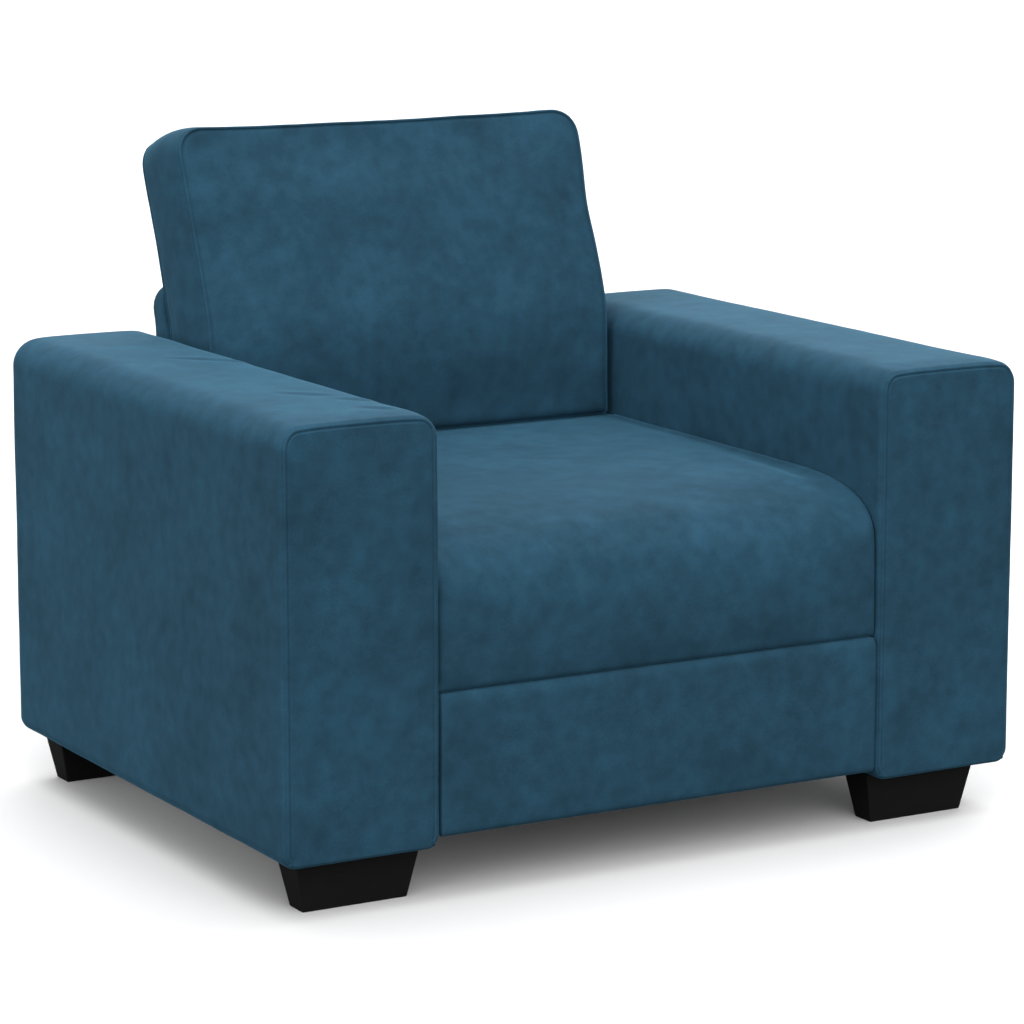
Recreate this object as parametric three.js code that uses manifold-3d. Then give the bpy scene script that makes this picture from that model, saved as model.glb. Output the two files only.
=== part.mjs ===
// An upholstered armchair with broad arms, a fixed sprung seat and a loose boxed back cushion.
// Millimetres, +Z up, X across the seat, Y from the front (low) to the back (high), floor at Z = 0.
// Inside this file Y = 0 is the front face of the arms; the last lines centre the chair on its box.
import * as THREE from 'three';
import { mergeVertices } from 'three/addons/utils/BufferGeometryUtils.js';
import Module from 'manifold-3d';

const wasm = await Module();
wasm.setup();

// Driving dimensions.
const seatWidth = 600;
const armWidth = 200;
const armDepth = 764;
const armTop = 565;
const armCrown = 6;
const armCornerRadius = 16;
const armSoftEdge = 8;
const panelInset = 9;
const bodyBottom = 64;
const seatTop = 426;
const seatFront = 3;
const seatSeam = 243;
const seatRollHeight = 78;
const seatRollDepth = 100;
const borderBottom = 76;
const backFront = 733;
const backRear = 770;
const backRollRear = 775;
const backTop = 622;
const backBottom = 66;
const cushionWidth = 588;
const cushionThickness = 115;
const cushionFront = 617;
const cushionLean = THREE.MathUtils.degToRad(20);
const cushionKnee = 575;
const cushionTop = 828;
const footTopWidth = 160;
const footTopDepth = 52;
const footBottomWidth = 134;
const footBottomDepth = 33;
const footCentreX = 390;
const frontFootY = 58;
const rearFootY = 724;

// Material thicknesses and fits.
const gap = 0.4;
const skin = 2;
const armFoam = 10;
const armTopFoam = 25;
const frontFoam = 12;
const panelBoard = 12;
const frontBoard = 15;
const topBoard = 17;
const baseBoard = 18;
const railBoard = 25;
const railBottom = 80;
const railTop = 238;
const seatBoxClearance = 3;
const stapleMargin = 28;
const boltRadius = 4;
const boltHoleRadius = 4.6;
const boltHead = 5;
const boltHeadRadius = 7;
const boltTail = 6;
const arcSteps = 3;
const roundSides = 12;

const armInnerFace = seatWidth / 2;
const armCentre = armInnerFace + armWidth / 2;
const foamOffset = skin + gap;

const finishes = {
  velvet: { color: 0x2b5470, roughness: 0.85, metalness: 0 },
  foam: { color: 0xe8dfc4, roughness: 0.95, metalness: 0 },
  board: { color: 0xc9a878, roughness: 0.8, metalness: 0 },
  steel: { color: 0xa8abae, roughness: 0.35, metalness: 1 },
  plastic: { color: 0x191919, roughness: 0.55, metalness: 0 },
  cloth: { color: 0x1c1c1e, roughness: 0.95, metalness: 0 },
  webbing: { color: 0x2f2f33, roughness: 0.9, metalness: 0 },
};

function piece(name, finish, geometry) {
  const mesh = new THREE.Mesh(geometry, new THREE.MeshStandardMaterial(finishes[finish]));
  mesh.name = name;
  return mesh;
}

// ---- Solid helpers ----

function solidOf(geometry) {
  const bare = geometry.clone();
  bare.deleteAttribute('normal');
  bare.deleteAttribute('uv');
  const merged = mergeVertices(bare, 1e-4);
  return new wasm.Manifold(new wasm.Mesh({
    numProp: 3,
    vertProperties: new Float32Array(merged.attributes.position.array),
    triVerts: new Uint32Array(merged.index.array),
  }));
}

function geometryOf(solid) {
  const mesh = solid.getMesh();
  const geometry = new THREE.BufferGeometry();
  geometry.setAttribute('position', new THREE.BufferAttribute(mesh.vertProperties, 3));
  geometry.setIndex(new THREE.BufferAttribute(mesh.triVerts, 1));
  geometry.computeVertexNormals();
  return geometry;
}

function cut(geometry, tools) {
  let solid = solidOf(geometry);
  for (const tool of tools) {
    solid = solid.subtract(solidOf(tool));
  }
  return geometryOf(solid);
}

// A box between two corners.
function block(low, high) {
  const size = high.map((value, axis) => value - low[axis]);
  const geometry = new THREE.BoxGeometry(...size);
  geometry.translate(...low.map((value, axis) => value + size[axis] / 2));
  return geometry;
}

// A box that stands on one side of the chair: inner and outer are distances from the middle plane.
function sideBlock(side, inner, outer, yLow, yHigh, zLow, zHigh) {
  const xs = [side * inner, side * outer].sort((a, b) => a - b);
  return block([xs[0], yLow, zLow], [xs[1], yHigh, zHigh]);
}

function extrude(outline, length, softEdge, basis) {
  const geometry = new THREE.ExtrudeGeometry(outline, {
    depth: length - 2 * softEdge,
    bevelEnabled: softEdge > 0,
    bevelSize: softEdge,
    bevelThickness: softEdge,
    bevelOffset: -softEdge,
    bevelSegments: 2,
    curveSegments: arcSteps,
  });
  geometry.translate(0, 0, softEdge);
  geometry.applyMatrix4(basis);
  return geometry;
}

const xAxis = new THREE.Vector3(1, 0, 0);
const yAxis = new THREE.Vector3(0, 1, 0);
const zAxis = new THREE.Vector3(0, 0, 1);

// An outline drawn in X and Z, swept from one Y to another.
function sweepAlongY(outline, yLow, yHigh, softEdge = 0) {
  const basis = new THREE.Matrix4().makeBasis(xAxis, zAxis, yAxis.clone().negate());
  const geometry = extrude(outline, yHigh - yLow, softEdge, basis);
  geometry.translate(0, yHigh, 0);
  return geometry;
}

// An outline drawn in Y and Z, swept across the chair, as wide as given and centred on X = 0.
function sweepAlongX(outline, width, softEdge = 0) {
  const basis = new THREE.Matrix4().makeBasis(yAxis, zAxis, xAxis);
  const geometry = extrude(outline, width, softEdge, basis);
  geometry.translate(-width / 2, 0, 0);
  return geometry;
}

// A closed outline through corner points, each corner rounded by its own radius.
function roundedOutline(corners) {
  const shape = new THREE.Shape();
  const count = corners.length;
  corners.forEach(({ at, radius }, index) => {
    const corner = new THREE.Vector2(...at);
    const before = new THREE.Vector2(...corners[(index + count - 1) % count].at);
    const after = new THREE.Vector2(...corners[(index + 1) % count].at);
    const start = corner.clone().add(before.sub(corner).setLength(radius));
    const end = corner.clone().add(after.sub(corner).setLength(radius));
    if (index === 0) {
      shape.moveTo(start.x, start.y);
    } else {
      shape.lineTo(start.x, start.y);
    }
    shape.quadraticCurveTo(corner.x, corner.y, end.x, end.y);
  });
  shape.closePath();
  return shape;
}

// The end view of an arm: upright sides, rounded corners and a top that rises to a crown.
function armOutline(inset, bottom = bodyBottom + inset) {
  const halfWidth = armWidth / 2 - inset;
  const radius = armCornerRadius - inset;
  const shoulder = armTop - armCrown - inset;
  const shape = new THREE.Shape();
  shape.moveTo(-halfWidth + radius, bottom);
  shape.lineTo(halfWidth - radius, bottom);
  shape.absarc(halfWidth - radius, bottom + radius, radius, -Math.PI / 2, 0);
  shape.lineTo(halfWidth, shoulder - radius);
  shape.absarc(halfWidth - radius, shoulder - radius, radius, 0, Math.PI / 2);
  shape.quadraticCurveTo(0, shoulder + 2 * armCrown, -halfWidth + radius, shoulder);
  shape.absarc(-halfWidth + radius, shoulder - radius, radius, Math.PI / 2, Math.PI);
  shape.lineTo(-halfWidth, bottom + radius);
  shape.absarc(-halfWidth + radius, bottom + radius, radius, Math.PI, 1.5 * Math.PI);
  return shape;
}

// A solid of revolution whose axis is X (towards the given side), from a radius and distance list.
function turnedAlongX(profile, side, x, y, z) {
  const points = profile.map(([radius, along]) => new THREE.Vector2(radius, along));
  const geometry = new THREE.LatheGeometry(points, roundSides);
  geometry.rotateZ(-side * Math.PI / 2);
  geometry.translate(side * x, y, z);
  return geometry;
}

function roundBar(radius, zLow, zHigh, x, y) {
  const geometry = new THREE.CylinderGeometry(radius, radius, zHigh - zLow, roundSides);
  geometry.rotateX(Math.PI / 2);
  geometry.translate(x, y, (zLow + zHigh) / 2);
  return geometry;
}

// ---- Bolts that hold the arms to the seat box and to the back ----

const innerBoardStart = armInnerFace + foamOffset + armFoam + gap;
const innerBoardEnd = innerBoardStart + panelBoard;
const seatBolts = [
  { place: 'front', y: 150, z: 150 },
  { place: 'rear', y: 600, z: 150 },
];
const backBolt = { y: 755.5, z: 420 };

// Round tools along X that pass through everything from the seat box to inside the arm.
function boltHoles(side, places) {
  const reach = armWidth / 2;
  const profile = [[0, 0], [boltHoleRadius, 0], [boltHoleRadius, 2 * reach], [0, 2 * reach]];
  return places.map(({ y, z }) => turnedAlongX(profile, side, armInnerFace - reach, y, z));
}

// A bolt along X: its head bears on the face at headX and its shank ends at endX.
function sideBolt(name, side, headX, endX, { y, z }) {
  const length = endX - headX;
  const profile = [
    [0, -boltHead], [boltHeadRadius, -boltHead], [boltHeadRadius, -gap],
    [boltRadius, -gap], [boltRadius, length], [0, length],
  ];
  return piece(name, 'steel', turnedAlongX(profile, side, headX, y, z));
}

// ---- Arms ----

const armBoardSide = armCentre - innerBoardStart;
const armBoardTop = armTop - foamOffset - armTopFoam - gap;
const armBaseBottom = bodyBottom + foamOffset;
const armBoardBottom = armBaseBottom + armSoftEdge;
const armFrontBoardStart = foamOffset + frontFoam + gap;
const armSideBoardStart = armFrontBoardStart + frontBoard + gap;
const armBoardEnd = armDepth - foamOffset;

function armCover(side) {
  const belowFloor = -armCornerRadius;
  const inner = sweepAlongY(armOutline(skin), skin, armDepth - skin, armSoftEdge - skin);
  const frontOpening = sweepAlongY(armOutline(panelInset, belowFloor), -skin, 2 * skin);
  const halfOpening = armWidth / 2 - stapleMargin;
  const bottomOpening = block(
    [-halfOpening, stapleMargin, 0],
    [halfOpening, armDepth - stapleMargin, bodyBottom + 2 * skin],
  );
  const outer = sweepAlongY(armOutline(0), 0, armDepth, armSoftEdge);
  const bag = cut(outer, [inner, frontOpening, bottomOpening]);
  bag.translate(side * armCentre, 0, 0);
  return cut(bag, boltHoles(side, [...seatBolts, backBolt]));
}

function armFrontPanel() {
  return sweepAlongY(armOutline(panelInset + gap, bodyBottom), 0, skin, skin / 4);
}

// One sheet of foam folded over both sides and the top, with a sheet glued across the front.
function armFoamWrap(side) {
  const outer = sweepAlongY(armOutline(foamOffset), foamOffset, armBoardEnd, armSoftEdge - skin);
  const room = block(
    [-armBoardSide - gap, armFrontBoardStart - gap, 0],
    [armBoardSide + gap, armDepth, armBoardTop + gap],
  );
  const wrap = cut(outer, [room]);
  wrap.translate(side * armCentre, 0, 0);
  return cut(wrap, boltHoles(side, [...seatBolts, backBolt]));
}

function armBoards(side, name) {
  const near = innerBoardStart;
  const far = armCentre + armBoardSide;
  const sidesTop = armBoardTop - topBoard - gap;
  const inside = panelBoard + gap;
  const rearStart = armBoardEnd - panelBoard;
  const sideBoard = (inner, outer) => sideBlock(
    side, inner, outer, armSideBoardStart, armBoardEnd, armBoardBottom, sidesTop,
  );
  const across = (yLow, yHigh, zLow, zHigh) => sideBlock(side, near, far, yLow, yHigh, zLow, zHigh);
  const between = (yLow, yHigh, zLow, zHigh) => sideBlock(
    side, near + inside, far - inside, yLow, yHigh, zLow, zHigh,
  );
  const base = between(
    armSideBoardStart, rearStart - gap, armBaseBottom, armBaseBottom + baseBoard,
  );
  const footHoles = [frontFootY, rearFootY].map(
    (y) => roundBar(boltHoleRadius, 0, armTop, side * footCentreX, y),
  );
  const boards = {
    inner_board: cut(sideBoard(near, innerBoardEnd), boltHoles(side, [...seatBolts, backBolt])),
    outer_board: sideBoard(far - panelBoard, far),
    top_board: across(armSideBoardStart, armBoardEnd, armBoardTop - topBoard, armBoardTop),
    front_board: across(
      armFrontBoardStart, armFrontBoardStart + frontBoard, armBoardBottom, armBoardTop,
    ),
    rear_board: between(rearStart, armBoardEnd, armBoardBottom, sidesTop),
    base_board: cut(base, footHoles),
  };
  return Object.entries(boards).map(
    ([board, geometry]) => piece(`${name}_${board}`, 'board', geometry),
  );
}

function arm(side, name) {
  const group = new THREE.Group();
  group.add(...armBoards(side, name));
  group.add(piece(`${name}_foam`, 'foam', armFoamWrap(side)));
  group.add(piece(`${name}_cover`, 'velvet', armCover(side)));
  const panel = piece(`${name}_front_panel`, 'velvet', armFrontPanel());
  panel.position.x = side * armCentre;
  group.add(panel);
  return group;
}

// ---- Feet ----

const footHeight = bodyBottom - gap;
const footBoltBottom = footHeight / 2;

// A block whose four sides slope in towards the floor.
function foot() {
  const geometry = new THREE.BoxGeometry(footTopWidth, footTopDepth, footHeight);
  geometry.translate(0, 0, footHeight / 2);
  const place = geometry.attributes.position;
  for (let i = 0; i < place.count; i += 1) {
    if (place.getZ(i) < footHeight / 2) {
      place.setX(i, place.getX(i) * footBottomWidth / footTopWidth);
      place.setY(i, place.getY(i) * footBottomDepth / footTopDepth);
    }
  }
  return cut(geometry, [roundBar(boltHoleRadius, footBoltBottom - gap, 2 * footHeight, 0, 0)]);
}

function footWithBolt(side, y, name) {
  const group = new THREE.Group();
  const boltTop = armBaseBottom + baseBoard + boltTail;
  group.add(piece(`foot_${name}`, 'plastic', foot()));
  group.add(piece(`foot_bolt_${name}`, 'steel', roundBar(boltRadius, footBoltBottom, boltTop, 0, 0)));
  group.position.set(side * footCentreX, y, 0);
  return group;
}

// ---- Seat box, springs and seat ----

const railOuter = armInnerFace - seatBoxClearance;
const railInner = railOuter - railBoard;
const frontRailStart = armFrontBoardStart;
const frontRailEnd = frontRailStart + railBoard;
const seatRear = backFront - seatBoxClearance;
const rearRailStart = seatRear - railBoard;
const springCount = 4;
const springWire = 1.8;
const springWidth = 48;
const springTurns = 13;
const springRise = 12;
const stripWidth = 18;
const stripThickness = 3;
const springPlane = railTop + gap + stripThickness + gap + springWire;
const foamBottom = springPlane + springRise + 2 * springWire;

function seatRails() {
  const across = (name, yLow, yHigh) => piece(name, 'board', block(
    [-railOuter, yLow, railBottom], [railOuter, yHigh, railTop],
  ));
  const along = (name, side) => piece(name, 'board', cut(
    sideBlock(
      side, railInner, railOuter, frontRailEnd + gap, rearRailStart - gap, railBottom, railTop,
    ),
    boltHoles(side, seatBolts),
  ));
  return [
    across('seat_front_rail', frontRailStart, frontRailEnd),
    across('seat_rear_rail', rearRailStart, seatRear),
    along('seat_rail_left', -1),
    along('seat_rail_right', 1),
  ];
}

function springStrip(name, railMiddle) {
  return piece(name, 'steel', block(
    [-railInner, railMiddle - stripWidth / 2, railTop + gap],
    [railInner, railMiddle + stripWidth / 2, railTop + gap + stripThickness],
  ));
}

// A sinuous spring: one wire that swings from side to side as it crosses from rail to rail.
function spring(x, start, end) {
  const stepsPerTurn = 4;
  const steps = springTurns * stepsPerTurn;
  const points = [];
  for (let i = 0; i <= steps; i += 1) {
    const along = i / steps;
    const swing = Math.sin(along * springTurns * 2 * Math.PI) * springWidth / 2;
    points.push(new THREE.Vector3(
      x + swing,
      start + along * (end - start),
      springPlane + springRise * Math.sin(along * Math.PI),
    ));
  }
  const section = new THREE.Shape();
  section.absarc(0, 0, springWire, 0, 2 * Math.PI);
  return new THREE.ExtrudeGeometry(section, {
    steps,
    curveSegments: arcSteps,
    bevelEnabled: false,
    extrudePath: new THREE.CatmullRomCurve3(points),
  });
}

// The side view of the seat: upright front, a deep rolled edge, a level top.
function seatOutline(inset, bottom) {
  const front = seatFront + inset;
  const rear = seatRear - inset;
  const top = seatTop - inset;
  const rollDepth = seatRollDepth - inset;
  const rollHeight = seatRollHeight - inset;
  const shape = new THREE.Shape();
  shape.moveTo(rear, bottom);
  shape.lineTo(rear, top);
  shape.lineTo(front + rollDepth, top);
  shape.absellipse(
    front + rollDepth, top - rollHeight, rollDepth, rollHeight, Math.PI / 2, Math.PI, false, 0,
  );
  shape.lineTo(front, bottom);
  shape.closePath();
  return shape;
}

function seat() {
  const group = new THREE.Group();
  const coverWidth = seatWidth - 2 * gap;
  const inner = sweepAlongX(seatOutline(skin, 0), coverWidth - 2 * skin);
  const cover = cut(sweepAlongX(seatOutline(0, seatSeam + gap), coverWidth), [inner]);
  const foam = sweepAlongX(seatOutline(foamOffset, foamBottom), coverWidth - 2 * foamOffset);
  const springStart = (frontRailStart + frontRailEnd) / 2;
  const springEnd = (rearRailStart + seatRear) / 2;
  group.add(...seatRails());
  group.add(springStrip('spring_strip_front', springStart));
  group.add(springStrip('spring_strip_rear', springEnd));
  for (let i = 0; i < springCount; i += 1) {
    const x = ((i + 0.5) / springCount - 0.5) * 2 * railInner;
    group.add(piece(`seat_spring_${i + 1}`, 'steel', spring(x, springStart, springEnd)));
  }
  group.add(piece('seat_foam', 'foam', foam));
  group.add(piece('seat_cover', 'velvet', cover));
  return group;
}

// ---- Front border below the seat, and the dust cover under the seat box ----

const borderReturn = 60;
const dustCoverThickness = 1;

// The cover is one strip of velvet: the upright face and the part that is stapled under the rail.
function border() {
  const group = new THREE.Group();
  const halfWidth = armInnerFace - gap;
  const strip = block([-halfWidth, 0, borderBottom], [halfWidth, borderReturn, seatSeam]);
  const inside = block(
    [-seatWidth, skin, borderBottom + skin], [seatWidth, 2 * borderReturn, seatTop],
  );
  group.add(piece('border_cover', 'velvet', cut(strip, [inside])));
  group.add(piece('border_pad', 'foam', block(
    [-halfWidth + foamOffset, seatFront + foamOffset, borderBottom + foamOffset],
    [halfWidth - foamOffset, frontRailStart - gap, foamBottom - gap],
  )));
  return group;
}

function dustCover() {
  const halfWidth = railOuter - skin;
  const top = borderBottom - gap;
  return block(
    [-halfWidth, stapleMargin, top - dustCoverThickness], [halfWidth, seatRear - skin, top],
  );
}

// ---- Back ----

const backHalfWidth = armInnerFace - skin;
const backSoftEdge = 8;
const backCoverEdge = 4;
const backPadEdge = 3;
const backShoulder = 548;
const backShoulderRadius = 30;
const rollFrontRadius = 4;
const rollRearRadius = 6;
const backRollHeight = 40;
const backRollBlend = 26;
const frameFront = 747;
const frameRear = 764;
const frameTop = 570;
const frameMember = 60;
const stileWidth = 30;
const stileOuter = backHalfWidth - 6;
const stileInner = stileOuter - stileWidth;
const webbingX = 110;
const webbingWidth = 60;
const webbingThickness = 1.5;
const rearBoard = 3.2;

// The side view of the back: an upright slab whose top front leans back and whose top is a soft roll.
function backOutline(inset) {
  const front = backFront + inset;
  const rear = backRear - inset;
  const rollRear = backRollRear - inset;
  const top = backTop - inset;
  const rollBottom = backTop - backRollHeight;
  const leanDepth = (top - backShoulder) * Math.tan(cushionLean);
  return roundedOutline([
    { at: [front, backBottom + inset], radius: backSoftEdge },
    { at: [front, backShoulder], radius: backShoulderRadius },
    { at: [front + leanDepth, top], radius: rollFrontRadius },
    { at: [rollRear, top], radius: rollRearRadius },
    { at: [rollRear, rollBottom], radius: backSoftEdge },
    { at: [rear, rollBottom - backRollBlend], radius: backSoftEdge },
    { at: [rear, backBottom + inset], radius: backSoftEdge },
  ]);
}

function backFrame() {
  const stile = (name, side) => piece(name, 'board', cut(
    sideBlock(side, stileInner, stileOuter, frameFront, frameRear, railBottom, frameTop),
    boltHoles(side, [backBolt]),
  ));
  const rail = (name, zLow) => piece(name, 'board', block(
    [-stileInner + gap, frameFront, zLow], [stileInner - gap, frameRear, zLow + frameMember],
  ));
  const strap = (name, x) => piece(name, 'webbing', block(
    [x - webbingWidth / 2, frameFront - gap - webbingThickness, railBottom + stapleMargin],
    [x + webbingWidth / 2, frameFront - gap, frameTop - stapleMargin],
  ));
  return [
    stile('back_stile_left', -1),
    stile('back_stile_right', 1),
    rail('back_top_rail', frameTop - frameMember),
    rail('back_bottom_rail', railBottom),
    strap('back_webbing_left', -webbingX),
    strap('back_webbing_right', webbingX),
  ];
}

// A bag open at the bottom, where it is stapled to the frame.
function backCover() {
  const width = 2 * backHalfWidth;
  const bottomSlot = block(
    [-backHalfWidth + stapleMargin, backFront + backSoftEdge, 0],
    [backHalfWidth - stapleMargin, backRear - backSoftEdge, backBottom + 2 * skin],
  );
  const inner = sweepAlongX(backOutline(skin), width - 2 * skin, backPadEdge);
  const holes = [-1, 1].flatMap((side) => boltHoles(side, [backBolt]));
  return cut(sweepAlongX(backOutline(0), width, backCoverEdge), [inner, bottomSlot, ...holes]);
}

// Foam down the front of the frame, and the roll above it.
function backPad() {
  const frameRoom = block(
    [-seatWidth, frameFront - webbingThickness - 2 * gap, 0],
    [seatWidth, 2 * backRear, frameTop + gap],
  );
  const width = 2 * (backHalfWidth - foamOffset);
  return cut(sweepAlongX(backOutline(foamOffset), width, backPadEdge), [frameRoom]);
}

function back() {
  const group = new THREE.Group();
  group.add(...backFrame());
  group.add(piece('back_pad', 'foam', backPad()));
  group.add(piece('back_rear_board', 'board', block(
    [-stileOuter, frameRear + gap, railBottom], [stileOuter, frameRear + gap + rearBoard, frameTop],
  )));
  group.add(piece('back_cover', 'velvet', backCover()));
  return group;
}

// ---- Loose back cushion ----

const cushionBottom = seatTop + gap;
const cushionCorner = 14;
const cushionCornerRise = 3.6;
const cushionSoftEdge = 9;
const cushionKneeRadius = 60;
const rearKneeRadius = 10;
const zipMiddle = cushionFront + cushionThickness / 2;
const zipHalfLength = 240;
const zipSlot = 7;
const tapeHalfWidth = 13;
const tapeThickness = 1.2;
const tapeBottom = cushionBottom + 5;
const sliderX = -225;
const sliderHalfLength = 8;
const sliderHalfWidth = 5;

// The side view: the foot of the cushion stands upright on the seat and the rest leans back.
function cushionOutline(inset) {
  const sine = Math.sin(cushionLean);
  const cosine = Math.cos(cushionLean);
  const thickness = cushionThickness - 2 * inset;
  const radius = cushionCorner - inset;
  const front = cushionFront + inset;
  const rear = front + thickness;
  const bottom = cushionBottom + inset;
  const rearKnee = cushionKnee - thickness * Math.tan(cushionLean / 2);
  const topZ = cushionTop + cushionCornerRise - inset * (cosine + sine);
  const topY = front + (topZ - cushionKnee) * sine / cosine;
  return roundedOutline([
    { at: [front, bottom], radius },
    { at: [front, cushionKnee], radius: cushionKneeRadius },
    { at: [topY, topZ], radius },
    { at: [topY + thickness * cosine, topZ - thickness * sine], radius },
    { at: [rear, rearKnee], radius: rearKneeRadius },
    { at: [rear, bottom], radius },
  ]);
}

// A box along the middle of the cushion's underside.
function zipBlock(halfLength, halfWidth, zLow, zHigh) {
  return block([-halfLength, zipMiddle - halfWidth, zLow], [halfLength, zipMiddle + halfWidth, zHigh]);
}

function cushionCover() {
  const slot = zipBlock(zipHalfLength, zipSlot, 0, cushionBottom + 2 * skin);
  const inner = sweepAlongX(cushionOutline(skin), cushionWidth - 2 * skin, cushionSoftEdge - skin);
  return cut(sweepAlongX(cushionOutline(0), cushionWidth, cushionSoftEdge), [inner, slot]);
}

function cushionFilling() {
  const width = cushionWidth - 2 * foamOffset;
  const recess = zipBlock(
    zipHalfLength + gap, tapeHalfWidth + gap, 0, tapeBottom + tapeThickness + gap,
  );
  return cut(sweepAlongX(cushionOutline(foamOffset), width, cushionSoftEdge - skin), [recess]);
}

// The slider hangs in the slot: a flat block with a narrower nose.
function zipSlider() {
  const body = zipBlock(
    sliderHalfLength, sliderHalfWidth, cushionBottom + gap, tapeBottom - gap,
  );
  const noseCuts = [-1, 1].map((side) => {
    const corner = zipBlock(zipSlot, zipSlot, 0, seatTop + armWidth);
    corner.translate(0, -zipMiddle, 0);
    corner.rotateZ(Math.PI / 4);
    corner.translate(sliderHalfLength + zipSlot / 2, zipMiddle + side * (zipSlot + 1), 0);
    return corner;
  });
  const slider = cut(body, noseCuts);
  slider.translate(sliderX, 0, 0);
  return slider;
}

function cushion() {
  const group = new THREE.Group();
  group.add(piece('cushion_cover', 'velvet', cushionCover()));
  group.add(piece('cushion_filling', 'foam', cushionFilling()));
  group.add(piece('cushion_zip', 'webbing', zipBlock(
    zipHalfLength, tapeHalfWidth, tapeBottom, tapeBottom + tapeThickness,
  )));
  group.add(piece('zip_slider', 'steel', zipSlider()));
  return group;
}

// ---- The chair ----

const chair = new THREE.Group();
for (const [side, name] of [[-1, 'left'], [1, 'right']]) {
  chair.add(arm(side, `arm_${name}`));
  chair.add(footWithBolt(side, frontFootY, `front_${name}`));
  chair.add(footWithBolt(side, rearFootY, `rear_${name}`));
  for (const bolt of seatBolts) {
    const boltName = `arm_bolt_${bolt.place}_${name}`;
    chair.add(sideBolt(boltName, side, railInner, innerBoardEnd + boltTail, bolt));
  }
  chair.add(sideBolt(`back_bolt_${name}`, side, stileInner, innerBoardEnd - gap, backBolt));
}
chair.add(seat());
chair.add(border());
chair.add(piece('dust_cover', 'cloth', dustCover()));
chair.add(back());
chair.add(cushion());

// The origin is the middle of the chair's footprint, on the floor.
const bounds = new THREE.Box3().setFromObject(chair);
chair.position.y = -(bounds.min.y + bounds.max.y) / 2;

export default chair;
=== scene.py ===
"""Looks of an upholstered armchair: velvet covers, a loose cushion and moulded feet around a fixed frame."""
import math
import bmesh
import bpy
import numpy as np
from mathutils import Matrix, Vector, noise


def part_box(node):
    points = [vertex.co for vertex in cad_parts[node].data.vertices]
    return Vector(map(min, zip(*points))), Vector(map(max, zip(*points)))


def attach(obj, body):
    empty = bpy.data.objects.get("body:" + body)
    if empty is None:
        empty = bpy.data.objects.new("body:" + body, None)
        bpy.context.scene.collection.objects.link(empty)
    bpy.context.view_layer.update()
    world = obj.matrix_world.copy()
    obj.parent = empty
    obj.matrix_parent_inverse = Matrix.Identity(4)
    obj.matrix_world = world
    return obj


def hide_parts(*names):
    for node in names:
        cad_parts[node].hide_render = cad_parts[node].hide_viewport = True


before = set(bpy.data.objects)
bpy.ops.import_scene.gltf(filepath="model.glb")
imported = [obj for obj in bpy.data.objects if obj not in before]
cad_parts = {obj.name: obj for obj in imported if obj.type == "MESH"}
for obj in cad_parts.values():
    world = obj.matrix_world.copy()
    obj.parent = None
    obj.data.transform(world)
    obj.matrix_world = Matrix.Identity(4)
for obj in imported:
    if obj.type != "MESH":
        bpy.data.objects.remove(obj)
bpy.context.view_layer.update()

MM = 0.001
CLOSE = 0.01 * MM    # how near a point is to a face or a seam that it lies on
TINY = 1e-9          # keeps a division from being by zero
X_AXIS, Y_AXIS = 0, 1
CLOTH_STEPS = 20

# Camera: where it stands round the object, in degrees and metres
CAMERA_AZIMUTH = -29.72
CAMERA_ELEVATION = 10.87
CAMERA_DISTANCE = 4.914
CAMERA_TARGET = Vector((0.0104, -0.0254, 0.3612))
CAMERA_LENS = 138.6

# Colours, linear
TEAL_DARK = (0.0127, 0.0467, 0.0768)
TEAL_LIGHT = (0.0172, 0.0635, 0.1045)
TEAL_SHEEN = (0.22, 0.66, 1.00)
PLASTIC_DARK = (0.003, 0.003, 0.003)
PLASTIC_LIGHT = (0.005, 0.005, 0.005)
LINING_DARK = (0.010, 0.010, 0.010)
LINING_LIGHT = (0.030, 0.030, 0.030)
FLOOR_SEEN = (0.80, 0.80, 0.80)
FLOOR_BOUNCE = (0.06, 0.06, 0.06)

SURROUND_STRENGTH = 0.42


# ---------------------------------------------------------------- meshes

def graded(low, high, step, fine, band=0.0, growth=1.35):
    """Lines from low to high: fine apart within band of both ends, then growing to step."""
    half = (high - low) / 2
    gaps = [fine]
    while sum(gaps) < half:
        gaps.append(fine if sum(gaps) < band else min(step, gaps[-1] * growth))
    offsets = np.concatenate([[0.0], np.cumsum(gaps)])
    offsets *= half / offsets[-1]
    return np.concatenate([low + offsets, (high - offsets[:-1])[::-1]])


def box_surface(xs, ys, zs):
    """Points and outward quads of a closed box whose faces are cut along the given lines."""
    index = {}
    points = []

    def at(i, j, k):
        if (i, j, k) not in index:
            index[i, j, k] = len(points)
            points.append((xs[i], ys[j], zs[k]))
        return index[i, j, k]

    quads = []
    last_x, last_y, last_z = len(xs) - 1, len(ys) - 1, len(zs) - 1
    for j in range(last_y):
        for k in range(last_z):
            quads.append((at(0, j, k), at(0, j, k + 1), at(0, j + 1, k + 1), at(0, j + 1, k)))
            quads.append((at(last_x, j, k), at(last_x, j + 1, k),
                          at(last_x, j + 1, k + 1), at(last_x, j, k + 1)))
    for i in range(last_x):
        for k in range(last_z):
            quads.append((at(i, 0, k), at(i + 1, 0, k), at(i + 1, 0, k + 1), at(i, 0, k + 1)))
            quads.append((at(i, last_y, k), at(i, last_y, k + 1),
                          at(i + 1, last_y, k + 1), at(i + 1, last_y, k)))
    for i in range(last_x):
        for j in range(last_y):
            quads.append((at(i, j, 0), at(i, j + 1, 0), at(i + 1, j + 1, 0), at(i + 1, j, 0)))
            quads.append((at(i, j, last_z), at(i + 1, j, last_z),
                          at(i + 1, j + 1, last_z), at(i, j + 1, last_z)))
    return np.array(points), quads


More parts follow.
